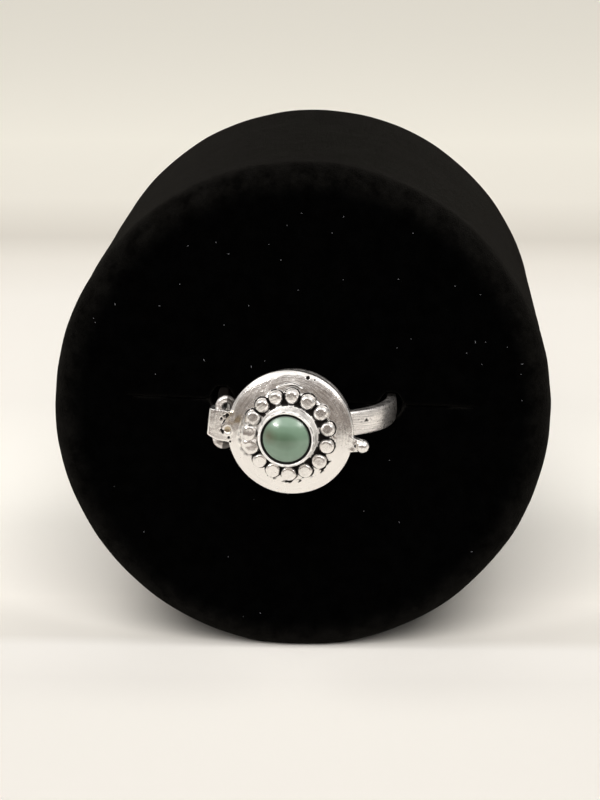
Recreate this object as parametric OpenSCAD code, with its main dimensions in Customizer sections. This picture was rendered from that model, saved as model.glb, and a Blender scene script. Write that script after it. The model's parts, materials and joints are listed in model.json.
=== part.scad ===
// A silver ring with a round hinged box on top, shown standing in the slit of a
// velvet display roll. Millimetres, +Z up. The head faces -Y, the roll lies along Y
// and rests on its flattened underside, whose centre is the origin.
// Each metal piece is drawn in the ring's own frame: the finger runs along Y, +Z
// points out through the lid and the hinge is on the -X side.

/* [Band] */
// Inner diameter of the band, which is the finger size
finger_d = 19; // [16:0.1:21]
// Thickness of the band at the middle of its width
band_t = 1.3; // [1:0.1:1.8]
// Width of the band along the finger
band_w = 3; // [2.4:0.1:4.4]
// Radius of the low dome across the outside of the band
band_dome_r = 4.2; // [3:0.1:8]
// Rounding of the band's four long edges
band_edge_r = 0.25; // [0.1:0.05:0.35]

/* [Box] */
// Outer diameter of the round box
box_d = 13.2; // [12.4:0.1:16]
// Height of the box from its underside to its rim
box_h = 3.3; // [2.9:0.1:5]
// Thickness of the box wall
box_wall = 0.55; // [0.5:0.05:0.9]
// Thickness of the box floor
box_floor = 0.8; // [0.6:0.05:1.2]
// Reach of the base plate past the box wall
base_reach = 0.1; // [0.05:0.05:0.5]
// Thickness of the base plate's rim
base_t = 0.5; // [0.3:0.05:0.6]
// Twist of the whole head on the band, clockwise from the front, in degrees
head_twist = 4.5; // [-10:0.5:10]
// Depth by which the floor is soldered into the crown of the band
box_seat = 0.5; // [0.3:0.05:0.6]

/* [Lid] */
// Overhang of the lid past the box wall
lid_overhang = 0.7; // [0.2:0.05:0.8]
// Gap between the closed lid and the rim of the box
lid_gap = 0.1; // [0.05:0.05:0.2]
// Height of the lid's upright edge
lid_edge_h = 0.6; // [0.5:0.05:0.9]
// Bevel round the top of the edge
lid_bevel = 0.2; // [0.1:0.05:0.3]
// Rise of the dome above the edge
dome_rise = 1.3; // [0.9:0.05:1.8]
// Thickness of the domed sheet
dome_t = 0.7; // [0.5:0.05:0.9]

/* [Stone and bezel] */
// Diameter of the stone at its girdle
stone_d = 5.6; // [4.6:0.1:6]
// Height of the stone from its base to its girdle
stone_girdle_h = 1.45; // [0.7:0.05:1.8]
// Height of the stone's dome above its girdle
stone_dome_h = 1.2; // [0.95:0.05:1.6]
// Radius of the shoulder where the stone's side turns into its dome
stone_shoulder_r = 0.4; // [0.3:0.05:0.85]
// Gap between the stone and its setting
stone_gap = 0.06; // [0.03:0.01:0.1]
// Thickness of the bezel's lip
bezel_lip_t = 0.42; // [0.3:0.02:0.5]
// Extra thickness of the bezel at its foot
bezel_flare = 0.24; // [0:0.02:0.25]
// Height of the bezel's lip above the stone's girdle
bezel_lip_rise = 0.35; // [0.2:0.05:0.5]

/* [Granules] */
// Number of granules round the bezel
granule_count = 15; // [10:1:15]
// Diameter of one granule
granule_d = 1.75; // [1.2:0.05:1.8]
// Gap between the granules and the bezel's foot
granule_gap = 0.14; // [0.05:0.01:0.3]
// Height of a granule's centre above the dome
granule_lift = 0.12; // [0:0.02:0.3]
// Depth worn off the top of each granule
granule_wear = 0.14; // [0:0.02:0.3]
// Turn of the first granule past the top, clockwise from the front
granule_start = -1; // [-12:1:12]
// Lead of the granules over even spacing a quarter of the way round, doubled at the bottom
granule_bunch = 3.4; // [0:0.2:4]

/* [Hinge] */
// Diameter of the wire that the hinge link is bent from
wire_d = 0.9; // [0.8:0.05:1.1]
// Depth by which the middle of the link's inner leg meets the box wall
link_sink = 0.05; // [0:0.05:0.3]
// Drop of the link below the rim of the box
link_drop = 1.1; // [1:0.05:1.5]
// Width of the solder seam between the link and the box wall
seam_w = 3; // [1.6:0.1:3.2]
// Height of the solder seam
seam_h = 0.6; // [0.4:0.05:0.8]
// Width of the tab that is folded round the link's outer leg
tab_w = 3.6; // [2.6:0.1:4]
// Thickness of the folded tab
tab_t = 0.4; // [0.35:0.05:0.55]
// Thickness of the flat of the tab at the edge of the lid
tab_flat_t = 0.65; // [0.5:0.05:0.8]
// Reach of the flat of the tab in over the lid
tab_reach = 1.2; // [0.8:0.1:1.8]
// Radius of the bend at the outer end of the tab
tab_bend_r = 0.5; // [0.2:0.05:0.6]
// Radial running clearance of the link in the tab
pin_gap = 0.05; // [0.02:0.01:0.1]
// Clearance between the folded tab and the link's inner leg
tab_back_gap = 0.35; // [0.1:0.05:0.5]
// Clearance between each side of the tab and the ends of the link
tab_side_gap = 0.1; // [0.05:0.05:0.3]
// Offset of the hinge along the finger
hinge_shift = -0.25; // [-0.6:0.05:0.6]

/* [Thumb ball] */
// Diameter of the ball that a fingernail lifts
ball_d = 1.55; // [1.2:0.05:2]
// Distance from the edge of the lid to the ball's centre
ball_reach = 1.15; // [0.9:0.05:1.6]
// Height of the ball's centre above the underside of the lid
ball_lift = 0.45; // [0.3:0.05:0.8]
// Thickness of the solder neck that holds the ball
neck_t = 0.5; // [0.3:0.05:0.55]
// Width of the neck at the lid
neck_foot_w = 1.6; // [1:0.1:2.4]
// Width of the neck at the ball's centre
neck_tip_w = 1.1; // [0.6:0.1:1.2]
// Offset of the ball along the finger
ball_shift = -0.45; // [-0.8:0.05:0.8]

/* [Display roll] */
// Diameter of the roll
roll_d = 60; // [50:1:80]
// Depth of the roll from front to back
roll_depth = 55; // [30:1:60]
// Rounding of the roll's two round edges
roll_edge_r = 3; // [1:0.5:6]
// Depth by which the roll is flattened where it rests
rest_sag = 0.3; // [0.2:0.05:1.5]
// Clearance of the slit's pocket round the band
pocket_gap = 0.2; // [0.1:0.05:0.5]
// Width of the slit across the roll's face
slit_w = 42; // [36:1:50]
// Height of the slit beside the pocket
slit_h = 0.4; // [0.2:0.05:1]
// Depth of the slit
slit_depth = 12; // [8:0.5:16]

/* [Place of the ring in the roll] */
// Distance of the ring's centre in front of the roll's face
ring_ahead = 0.3; // [0:0.1:3]
// Distance of the ring's centre to the right of the roll's axis
ring_right = 0.6; // [-3:0.1:3]
// Drop of the slit and the ring below the roll's axis, less than 0 when they sit above it
ring_drop = -1.2; // [-3:0.1:3]
// Lean of the head down towards the front, in degrees
ring_lean = 0.1; // [0:0.1:8]
// Roll of the ring, clockwise from the front, in degrees
ring_roll = 1.5; // [-10:0.5:10]
// Turn of the head to the left, in degrees
ring_turn = 5.4; // [-10:0.1:10]

/* [Hidden] */
$fn = 96;
silver = [0.86, 0.84, 0.82];
pale_silver = [0.93, 0.92, 0.90];
green_stone = [0.48, 0.58, 0.50];
black_velvet = [0.05, 0.05, 0.055];
// Length past a surface to which a cutting solid reaches
past = 1;

band_in_r = finger_d / 2;
band_out_r = band_in_r + band_t;

box_r = box_d / 2;
box_in_r = box_r - box_wall;
box_z = band_out_r - box_seat;
box_rim_z = box_z + box_h;

lid_r = box_r + lid_overhang;
lid_z = box_rim_z + lid_gap;
lid_edge_z = lid_z + lid_edge_h;
dome_foot_r = lid_r - lid_bevel;
dome_r = (pow(dome_foot_r, 2) + pow(dome_rise, 2)) / (2 * dome_rise);
dome_centre_z = lid_edge_z + dome_rise - dome_r;
hollow_r = box_in_r - lid_gap;

stone_r = stone_d / 2;
bezel_in_r = stone_r + stone_gap;
bezel_lip_r = bezel_in_r + bezel_lip_t;
bezel_foot_r = bezel_lip_r + bezel_flare;
bezel_floor_z = dome_z(0);
stone_z = bezel_floor_z + stone_gap;
girdle_z = stone_z + stone_girdle_h;
bezel_lip_z = girdle_z + bezel_lip_rise;
stone_core_r = stone_r - stone_shoulder_r;
stone_cap_r = (pow(stone_core_r, 2) + pow(stone_dome_h, 2) - pow(stone_shoulder_r, 2))
    / (2 * (stone_dome_h - stone_shoulder_r));

granule_r = granule_d / 2;
granule_ring_r = bezel_foot_r + granule_gap + granule_r;
granule_z = dome_z(granule_ring_r) + granule_lift;

wire_r = wire_d / 2;
pin_bore_r = wire_r + pin_gap;
knuckle_r = pin_bore_r + tab_t;
// Distance between the middles of the link's two legs
leg_gap = knuckle_r + tab_back_gap + wire_r;
link_z = box_rim_z - link_drop;
inner_leg_x = -(box_r - link_sink + wire_r);
pin_x = inner_leg_x - leg_gap;
leg_len = tab_w + 2 * tab_side_gap;
tab_top_z = lid_z + tab_flat_t;

ball_r = ball_d / 2;
ball_x = lid_r + ball_reach;
ball_z = lid_z + ball_lift;
neck_z = lid_z + (lid_edge_h - neck_t) / 2;

roll_r = roll_d / 2;
roll_z = roll_r - rest_sag;
face_y = -roll_depth / 2;
ring_z = roll_z - ring_drop;

// Height of the dome's outside at a distance r from its middle
function dome_z(r) = dome_centre_z + sqrt(pow(dome_r, 2) - pow(r, 2));

// Puts what is drawn in the ring's frame where the ring stands in the roll
module in_the_roll() {
    translate([ring_right, face_y - ring_ahead, ring_z])
        rotate([ring_lean, ring_roll, -ring_turn])
            rotate([90, 0, 0])
                children();
}

// Puts what is drawn round the box's middle on the band, twisted as it is soldered
module on_the_band() {
    rotate([0, 0, -head_twist])
        children();
}

// Outline from low to high, two corners of it, with rounded corners
module rounded_outline(low, high, r) {
    translate([low[0] + r, low[1]])
        square([high[0] - low[0] - 2 * r, high[1] - low[1]]);
    translate([low[0], low[1] + r])
        square([high[0] - low[0], high[1] - low[1] - 2 * r]);
    for (x = [low[0] + r, high[0] - r], y = [low[1] + r, high[1] - r])
        translate([x, y])
            circle(r);
}

// Draws an outline of the X-Z plane as a plate of width w, centred across the finger
module across_finger(w, shift) {
    translate([0, shift + w / 2, 0])
        rotate([90, 0, 0])
            linear_extrude(w)
                children();
}

module band() {
    rotate([90, 0, 0])
        rotate_extrude()
            intersection() {
                rounded_outline([band_in_r, -band_w / 2], [band_out_r, band_w / 2], band_edge_r);
                translate([band_out_r - band_dome_r, 0])
                    circle(band_dome_r);
            }
}

module box() {
    difference() {
        union() {
            translate([0, 0, box_z])
                cylinder(h = box_h, r = box_r);
            translate([0, 0, box_z])
                cylinder(h = base_t, r = box_r + base_reach);
        }
        translate([0, 0, box_z + box_floor])
            cylinder(h = box_h, r = box_in_r);
    }
}

// One half of the hinge link's oval: an end of the loop and half of each leg
module half_link() {
    rotate([0, 0, 90])
        translate([leg_len / 2, 0, 0])
            rotate([0, 0, -90])
                rotate_extrude(angle = 180)
                    translate([leg_gap / 2, 0])
                        circle(wire_r);
    for (x = [-leg_gap / 2, leg_gap / 2])
        translate([x, 0, 0])
            rotate([-90, 0, 0])
                cylinder(h = leg_len / 2, r = wire_r);
}

module hinge_link() {
    translate([pin_x + leg_gap / 2, hinge_shift, link_z]) {
        half_link();
        mirror([0, 1, 0])
            half_link();
    }
}

// The solder that fills the space between the link's inner leg and the round wall
module solder_seam() {
    wall_mid_x = -(box_r - box_wall / 2);
    across_finger(seam_w, hinge_shift)
        translate([inner_leg_x, link_z - seam_h / 2])
            square([wall_mid_x - inner_leg_x, seam_h]);
}

module ring_body() {
    color(silver)
        in_the_roll()
            union() {
                band();
                on_the_band() {
                    box();
                    hinge_link();
                    solder_seam();
                }
            }
}

module dome() {
    rotate_extrude()
        difference() {
            intersection() {
                translate([0, dome_centre_z])
                    circle(dome_r);
                polygon([
                    [0, lid_z],
                    [lid_r, lid_z],
                    [lid_r, lid_edge_z - lid_bevel],
                    [dome_foot_r, lid_edge_z],
                    [dome_foot_r, lid_edge_z + dome_rise],
                    [0, lid_edge_z + dome_rise]
                ]);
            }
            intersection() {
                translate([0, dome_centre_z])
                    circle(dome_r - dome_t);
                translate([0, lid_z - past])
                    square([hollow_r, dome_rise + lid_edge_h + past]);
            }
        }
}

module bezel() {
    lip_mid_r = bezel_in_r + bezel_lip_t / 2;
    lip_round_z = bezel_lip_z - bezel_lip_t / 2;
    // The foot reaches down into the thickness of the dome
    foot_z = dome_z(bezel_foot_r) - dome_t / 2;
    rotate_extrude() {
        polygon([
            [0, foot_z],
            [bezel_foot_r, foot_z],
            [bezel_foot_r, dome_z(bezel_foot_r)],
            [bezel_lip_r, lip_round_z],
            [bezel_in_r, lip_round_z],
            [bezel_in_r, bezel_floor_z],
            [0, bezel_floor_z]
        ]);
        translate([lip_mid_r, lip_round_z])
            circle(bezel_lip_t / 2);
    }
}

module granule() {
    intersection() {
        sphere(granule_r);
        translate([0, 0, -granule_r])
            cylinder(h = granule_d - granule_wear, r = granule_r + past);
    }
}

module granules() {
    for (i = [0 : granule_count - 1]) {
        even_turn = i * 360 / granule_count;
        ahead = granule_bunch * (1 - cos(even_turn));
        rotate([0, 0, 90 - granule_start - even_turn - ahead])
            translate([granule_ring_r, 0, granule_z])
                granule();
    }
}

// The strip that runs out from the lid and is folded down round the link
module hinge_tab() {
    outer_x = pin_x - knuckle_r;
    inner_x = -lid_r + tab_reach;
    across_finger(tab_w, hinge_shift)
        difference() {
            union() {
                translate([pin_x, link_z])
                    circle(knuckle_r);
                translate([outer_x, link_z])
                    square([2 * knuckle_r, lid_z - link_z + tab_bend_r / 2]);
                translate([outer_x + tab_bend_r, lid_z])
                    square([inner_x - outer_x - tab_bend_r, tab_flat_t]);
                translate([outer_x, lid_z - tab_bend_r])
                    square([tab_bend_r * 2, tab_flat_t]);
                translate([outer_x + tab_bend_r, tab_top_z - tab_bend_r])
                    circle(tab_bend_r);
            }
            translate([pin_x, link_z])
                circle(pin_bore_r);
        }
}

module thumb_ball() {
    foot_x = lid_r - 2 * lid_bevel;
    translate([ball_x, ball_shift, ball_z])
        sphere(ball_r);
    translate([0, ball_shift, neck_z])
        linear_extrude(neck_t)
            polygon([
                [foot_x, -neck_foot_w / 2],
                [ball_x, -neck_tip_w / 2],
                [ball_x, neck_tip_w / 2],
                [foot_x, neck_foot_w / 2]
            ]);
}

module lid() {
    color(pale_silver)
        in_the_roll()
            on_the_band()
                union() {
                    dome();
                    bezel();
                    granules();
                    hinge_tab();
                    thumb_ball();
                }
}

module stone() {
    // The shoulder and the cap meet on the line through both their centres
    cap_centre_z = girdle_z + stone_dome_h - stone_cap_r;
    apex_z = girdle_z + stone_dome_h;
    meet_rise = girdle_z - cap_centre_z;
    meet_z = apex_z + past;
    meet_r = stone_core_r * (meet_z - cap_centre_z) / meet_rise;
    color(green_stone)
        in_the_roll()
            on_the_band()
                rotate_extrude() {
                    translate([0, stone_z])
                        square([stone_r, stone_girdle_h]);
                    intersection() {
                        translate([stone_core_r, girdle_z])
                            circle(stone_shoulder_r);
                        translate([0, stone_z])
                            square([stone_r, stone_girdle_h + stone_dome_h]);
                    }
                    intersection() {
                        translate([0, cap_centre_z])
                            circle(stone_cap_r);
                        polygon([
                            [0, stone_z],
                            [stone_core_r, stone_z],
                            [stone_core_r, girdle_z],
                            [meet_r, meet_z],
                            [0, meet_z]
                        ]);
                    }
                }
}

// The room that the band needs in the roll, open towards the front
module band_pocket() {
    pocket_r = band_out_r + pocket_gap;
    pocket_w = band_w + 2 * pocket_gap;
    rotate([90, 0, 0])
        translate([0, 0, -pocket_w / 2])
            cylinder(h = pocket_w, r = pocket_r);
    translate([-pocket_r, -pocket_w / 2, 0])
        cube([2 * pocket_r, pocket_w, ring_ahead + pocket_r]);
}

module display_roll() {
    color(black_velvet)
        difference() {
            translate([0, -face_y, roll_z])
                rotate([90, 0, 0])
                    rotate_extrude()
                        intersection() {
                            rounded_outline([-roll_r, 0], [roll_r, roll_depth], roll_edge_r);
                            square([roll_r, roll_depth]);
                        }
            translate([-roll_r, face_y - past, -roll_r])
                cube([roll_d, roll_depth + 2 * past, roll_r]);
            translate([-slit_w / 2, face_y - past, ring_z - slit_h / 2])
                cube([slit_w, slit_depth + past, slit_h]);
            in_the_roll()
                band_pocket();
        }
}

ring_body();
lid();
stone();
display_roll();
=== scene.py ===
"""Dresses a silver poison ring that stands in the slit of a black velvet display roll.

Lengths in the named values are millimetres, and meshes are written in metres.
The metal is worked out as distance fields, so that soldered pieces run into each other,
and each field is skinned by a surface net."""

import json
import math

import bpy
import numpy as np
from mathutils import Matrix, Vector


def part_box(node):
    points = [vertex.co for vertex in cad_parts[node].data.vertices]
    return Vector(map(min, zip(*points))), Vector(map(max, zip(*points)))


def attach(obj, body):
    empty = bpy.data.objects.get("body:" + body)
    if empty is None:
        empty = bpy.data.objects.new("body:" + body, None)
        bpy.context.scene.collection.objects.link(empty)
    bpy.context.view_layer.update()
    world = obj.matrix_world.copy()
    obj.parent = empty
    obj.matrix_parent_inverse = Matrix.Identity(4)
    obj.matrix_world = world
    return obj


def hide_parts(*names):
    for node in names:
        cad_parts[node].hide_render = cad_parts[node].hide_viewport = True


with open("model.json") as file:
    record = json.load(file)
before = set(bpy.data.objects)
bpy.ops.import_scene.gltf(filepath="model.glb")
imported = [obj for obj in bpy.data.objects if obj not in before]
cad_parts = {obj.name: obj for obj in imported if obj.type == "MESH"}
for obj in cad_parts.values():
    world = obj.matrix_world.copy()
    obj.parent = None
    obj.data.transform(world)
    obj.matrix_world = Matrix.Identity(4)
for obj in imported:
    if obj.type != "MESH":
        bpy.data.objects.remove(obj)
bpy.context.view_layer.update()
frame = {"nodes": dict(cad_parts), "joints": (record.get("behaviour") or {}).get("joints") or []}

MM = 0.001
RING_BODY = "ring_and_roll"
LID_BODY = "lid"

# Camera: where it stands round the roll's face and what it aims at
CAM_TURN = 2.15
CAM_RISE = 13.32
CAM_DISTANCE = 315.8
CAM_AIM = (-0.161, -27.5, 31.295)
SENSOR = 36
FOCAL_PIXELS = 2636
IMAGE_HEIGHT = 800

# Band and box, in the ring's frame: the finger runs along Y and +Z leaves through the lid
FINGER_R = 9.5
BAND_T = 1.3
BAND_W = 3
BAND_DOME_R = 4.2
BAND_EDGE_R = 0.25
BOX_R = 6.6
BOX_WALL = 0.55
BOX_FLOOR = 0.8
BOX_H = 3.3
BOX_SEAT = 0.5
BASE_REACH = 0.1
BASE_T = 0.5
HEAD_TWIST = 4.5
BAND_OUT_R = FINGER_R + BAND_T
BOX_Z = BAND_OUT_R - BOX_SEAT
BOX_RIM_Z = BOX_Z + BOX_H

# Lid
LID_GAP = 0.1
LID_R = 7.3
LID_EDGE_H = 0.6
LID_BEVEL = 0.2
DOME_RISE = 1.3
DOME_T = 0.7
# Softening of the dome towards its edge, worn by handling: where it starts and how fast
WEAR_START_R = 6.55
WEAR_RATE = 0.1
# How softly the lid's edges are rounded: the dome's, the bevel's, the foot's and the hollow's
DOME_EDGE_SOFT = 0.12
BEVEL_SOFT = 0.1
LID_FOOT_SOFT = 0.08
HOLLOW_SOFT = 0.06
LID_Z = BOX_RIM_Z + LID_GAP
LID_EDGE_Z = LID_Z + LID_EDGE_H
DOME_FOOT_R = LID_R - LID_BEVEL
DOME_R = (DOME_FOOT_R**2 + DOME_RISE**2) / (2 * DOME_RISE)
DOME_CENTRE_Z = LID_EDGE_Z + DOME_RISE - DOME_R
HOLLOW_R = BOX_R - BOX_WALL - LID_GAP

# Stone and bezel
STONE_R = 2.8
STONE_GAP = 0.06
STONE_GIRDLE_H = 1.45
STONE_DOME_H = 1.2
STONE_SHOULDER_R = 0.4
STONE_CORE_R = STONE_R - STONE_SHOULDER_R
STONE_CAP_R = (STONE_CORE_R**2 + STONE_DOME_H**2 - STONE_SHOULDER_R**2) / (
    2 * (STONE_DOME_H - STONE_SHOULDER_R)
)
BROWN_SPOT = (-2.0, 0.25, 17.8)
# Darker green across the middle of the stone, partly its own colour and partly painted shade: its place
# and reach
DEEP_SHADE_X = -0.2
DEEP_SHADE_Y = -0.05
DEEP_SHADE_WIDE = 2.1
DEEP_SHADE_HIGH = 1.2
BEZEL_LIP_T = 0.42
BEZEL_FLARE = 0.24
BEZEL_LIP_RISE = 0.35
BEZEL_IN_R = STONE_R + STONE_GAP
BEZEL_LIP_R = BEZEL_IN_R + BEZEL_LIP_T
BEZEL_FOOT_R = BEZEL_LIP_R + BEZEL_FLARE
STONE_Z = LID_EDGE_Z + DOME_RISE + STONE_GAP
BEZEL_LIP_Z = STONE_Z + STONE_GIRDLE_H + BEZEL_LIP_RISE
# The bezel's wall at its foot: how far in it starts, how deep in the dome, and half its thickness
BEZEL_FOOT_INSET = 0.5
BEZEL_FOOT_SINK = 0.2
BEZEL_FOOT_HALF_T = 0.3

# Thin wire round the foot of the bezel: its place, half its thickness and its height over the dome
FOOT_WIRE_R = BEZEL_FOOT_R - 0.17
FOOT_WIRE_HALF_T = 0.08
FOOT_WIRE_LIFT = 0.14

# Granules
GRANULE_COUNT = 15
GRANULE_R = 0.875
GRANULE_GAP = 0.14
GRANULE_LIFT = 0.12
GRANULE_WEAR = 0.14
GRANULE_START = -1
GRANULE_BUNCH = 3.4
GRANULE_RING_R = BEZEL_FOOT_R + GRANULE_GAP + GRANULE_R
# How unlike the granules are: in place, in size and out of round
GRANULE_PLACES = (-0.06, 0.04)
GRANULE_SIZES = (0.98, 1.05)
GRANULE_DEPTHS = (0.94, 1.06)
GRANULE_WIDTHS = (0.94, 1.04)
# Wear of their tops: how much more the lower ones have, how unlike it is, its tilt and soft edge
GRANULE_LOW_WEAR = 0.7
GRANULE_WEAR_SPREAD = 0.3
GRANULE_TOP_TILT = 0.1
GRANULE_TOP_SOFT = 0.14

# Solder bed round the bezel, above the dome, and where it thins out
BED_R = 4.9
BED_T = 0.14
BED_END_R = 5.4
BED_END_W = 0.9
BED_LEAST = 0.22
# Ridge of solder past the upper granules: its radius, its ends and how far its middle bulges
RIDGE_R = 5.5
RIDGE_LEFT = -2.5
RIDGE_RIGHT = 1.5
RIDGE_END_W = 0.8
RIDGE_MIDDLE = -0.4
RIDGE_BULGE = 0.36
RIDGE_BULGE_W = 1.1
RIDGE_HALF_T = 0.09
# Mound of solder on the hinge side: its place, its half sizes and how fast its sides fall
MOUND_X = -4.6
MOUND_Y = -0.8
MOUND_HALF = (1.0, 1.8, 0.66)
MOUND_SLOPE = 0.6
MOUND_SOFT = 0.45
# How deep the solder and the granules reach into the dome
FOOT_DEPTH = 0.4

# Hinge
WIRE_R = 0.45
PIN_GAP = 0.05
TAB_T = 0.4
TAB_BACK_GAP = 0.35
TAB_W = 3.6
TAB_SIDE_GAP = 0.1
TAB_FLAT_T = 0.65
TAB_REACH = 1.2
TAB_BEND_R = 0.5
TAB_EDGE_R = 0.12
# Slanted clip at the tab's lower outer corner: how far in it starts, which way it runs, its edge
CLIP_IN = 0.5
CLIP_WAY = (0.35, 0.94)
CLIP_SOFT = 0.15
LINK_SINK = 0.05
LINK_DROP = 1.1
HINGE_SHIFT = -0.25
KNUCKLE_R = WIRE_R + PIN_GAP + TAB_T
LEG_GAP = KNUCKLE_R + TAB_BACK_GAP + WIRE_R
LINK_Z = BOX_RIM_Z - LINK_DROP
INNER_LEG_X = -(BOX_R - LINK_SINK + WIRE_R)
PIN_X = INNER_LEG_X - LEG_GAP
LEG_LEN = TAB_W + 2 * TAB_SIDE_GAP
# Solder that holds the inner leg to the box: half its length, half its height and its edges
SEAM_HALF_LEN = 1.5
SEAM_HALF_H = 0.3
SEAM_EDGE_R = 0.1

# Thumb ball
BALL_R = 0.775
BALL_X = LID_R + 1.15
BALL_Y = -0.45
BALL_Z = LID_Z + 0.45
NECK_T = 0.5
NECK_Z = LID_Z + (LID_EDGE_H - NECK_T) / 2
NECK_FOOT_W = 1.6
NECK_TIP_W = 1.1
NECK_MIDDLE_X = BALL_X - 0.7
NECK_HALF_LEN = 0.8

# Casting and solder pits: place on the lid and radius
PITS = (
    (1.4, 6.73, 14.38, 0.2),
    (2.2, 6.57, 14.36, 0.09),
    (-7.4, 1.1, 14.42, 0.2),
    (-7.75, 0.95, 14.42, 0.13),
    (-8.05, 0.6, 14.42, 0.15),
    (-7.95, -0.75, 14.42, 0.13),
    (-6.95, -1.5, 14.34, 0.14),
    (-6.75, -1.95, 14.34, 0.1),
    (7.7, -0.5, 14.25, 0.17),
)
# Shallow brown hollow in the solder beside the hinge: place, radius and depth
HOLLOW_X = -7.2
HOLLOW_Y = -0.6
BROWN_HOLLOW_R = 0.42
BROWN_HOLLOW_DEPTH = 0.12
BROWN_RIM_H = 0.06
# Crack across the strip of the tab beside the lid: its middle and half its length
CRACK_X = -7.65
CRACK_Y = -0.05
CRACK_HALF = 1.05

# Black oxide outside the granules: its ring and where it starts and ends, in degrees from the top
OXIDE_R = 5.62
OXIDE_START = 100
OXIDE_END = 215
# Stretch of the gutter that solder has filled, in degrees from the top
FILLED_START = 238
FILLED_END = 304
# Grime that lies thin over the granules
GRIME_R = 4.9
# Yellow bloom beside the hinge
BLOOM_X = -6.5
BLOOM_Y = 0.85
# Dark scuff on the band, to the right of the lid
SCUFF_X = 7.7
SCUFF_Y = 0.9

# Roll
ROLL_R = 30
ROLL_EDGE_R = 3
ROLL_SAG = 0.3
ROLL_Z = ROLL_R - ROLL_SAG
RING_DROP = -1.2
RING_RIGHT = 0.6
RING_ROLL = 1.5
SLIT_Z = ROLL_Z - RING_DROP
SLIT_W = 42
SLIT_DEPTH = 12
# Half the slit's opening: where it is shut, where a leg holds it open, and behind its lips
SHUT_GAPE = 0.06
LEG_GAPE = 1.5
LEG_GAPE_W = 1.3
INNER_GAPE = 1.6
LIP_DEPTH = 1.2
LIP_SOFT = 1.0
# Where the legs of the band leave the roll, either side of the ring's middle
LEG_X = FINGER_R + BAND_T / 2
# Dust on the roll's face: specks tried, how far out they lie and how far before the velvet
LINT_COUNT = 95
LINT_REACH = 27.5
LINT_AHEAD = 0.12

# Table: its size and how far under the roll it lies
FLOOR_SIZE = 6000
FLOOR_DROP = 0.02
# Lights: how far the square ones stand, and how high the broad one is, in degrees
LIGHT_DISTANCE = 500
FRONT_LIGHT_RISE = 36

# Dim room that the silver mirrors: radii round the roll's face, heights and turn each way
ROOM_NEAR_R = 125
ROOM_FAR_R = 450
ROOM_LOW_Z = 6
ROOM_HIGH_Z = 272
ROOM_TURN = 58
CEILING_TURN = 115
CEILING_R = 60
CEILING_Z = 560
ROOM_SIDES = 48

# Colours of the silver where it isn't clean, black also for painted shade, and how metallic bare silver
# is
OXIDE_AND_SHADE_BLACK = (0.012, 0.01, 0.009)
SHADED_SILVER = (0.05, 0.045, 0.04)
YELLOW_BLOOM = (0.42, 0.33, 0.2)
DULL_SHARE = 0.6
BARE_METAL = 0.97

# Steps of the nets that skin the metal, and the room round each piece inside its net
LID_STEP = 0.09
LID_ROOM = 0.2
RING_STEP = 0.113
RING_ROOM = 0.3
# Typical step of the roll's net, which is finer round the slit
ROLL_STEP = 0.4
STONE_SIDES = 128
# How far out each point looks for metal beside it, and what share of its crevice darkness, patina and
# painted shade, that gives
DIRT_AND_SHADE_REACHES = ((0.15, 0.3), (0.35, 0.4), (0.7, 0.3))
# A distance larger than any that matters
FAR_AWAY = 9.0


def head_frame():
    """Turn and origin of the head's frame, found from the stone's axis and the lid's hinge."""
    stone = points_of(frame["nodes"]["stone"]) / MM
    hinge = next(j for j in frame["joints"] if j["name"] == "lid_hinge")
    middle = stone.mean(0)
    out = np.linalg.svd(stone - middle, full_matrices=False)[2][2]
    out = out if out[1] < 0 else -out
    along = -np.array(hinge["axis"], float)
    along -= out * (along @ out)
    along /= np.linalg.norm(along)
    across = np.cross(along, out)
    turn = np.stack([across, along, out], 1)
    pin = np.array(hinge["pos_m"]) / MM
    return turn, pin - turn @ np.array((PIN_X, HINGE_SHIFT, LINK_Z))


def to_row(place):
    """A place in the head's frame, in millimetres, as metres in the frame of the parts."""
    return ((head_turn @ np.array(place) + head_origin) * MM).tolist()


def points_of(obj):
    """The points of a mesh as an array, in metres."""
    points = np.zeros(len(obj.data.vertices) * 3)
    obj.data.vertices.foreach_get("co", points)
    return points.reshape(-1, 3)


# Shares between 0 and 1


def rise(value, start, width):
    """0 up to start, then up to 1 over a width."""
    return np.clip((value - start) / width, 0, 1)


def fall(value, end, width):
    """1 until a width before end, then down to 0 at end."""
    return np.clip((end - value) / width, 0, 1)


def bell(value, width):
    """1 where value is 0, and fading on both sides of it."""
    return np.exp(-((value / width) ** 2))


# Distance fields: negative inside, in millimetres


def join(a, b, soft):
    """Union whose crease is filled over a width soft."""
    h = np.maximum(soft - np.abs(a - b), 0) / soft
    return np.minimum(a, b) - h * h * soft / 4


def keep(a, b, soft):
    """Intersection whose edge is rounded over a width soft."""
    h = np.maximum(soft - np.abs(a - b), 0) / soft
    return np.maximum(a, b) + h * h * soft / 4


def cut(a, b, soft):
    return keep(a, -b, soft)


def ball(x, y, z, centre, r):
    return np.sqrt((x - centre[0]) ** 2 + (y - centre[1]) ** 2 + (z - centre[2]) ** 2) - r


def block(x, y, z, low, high, r):
    """Box between two corners with edges of radius r."""
    d = [
        np.abs(v - (a + b) / 2) - (b - a) / 2 + r
        for v, a, b in zip((x, y, z), low, high)
    ]
    out = np.sqrt(sum(np.maximum(v, 0) ** 2 for v in d))
    return out + np.minimum(np.maximum(np.maximum(d[0], d[1]), d[2]), 0) - r


def ripple(x, y, z, size, seed):
    """Smooth unevenness between about -1 and 1, with bumps about size across."""
    rng = np.random.default_rng(seed)
    total = 0
    waves = 7
    for _ in range(waves):
        way = rng.normal(size=3)
        way *= math.tau / (size * 2.2) * rng.uniform(0.7, 1.4) / np.linalg.norm(way)
        phase = rng.uniform(0, math.tau)
        total = total + np.sin(x * way[0] + y * way[1] + z * way[2] + phase)
    return total / math.sqrt(waves)


def dome_z(r):
    """Height of the dome's top, r from its middle."""
    return DOME_CENTRE_Z + math.sqrt(DOME_R**2 - r**2)


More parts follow.
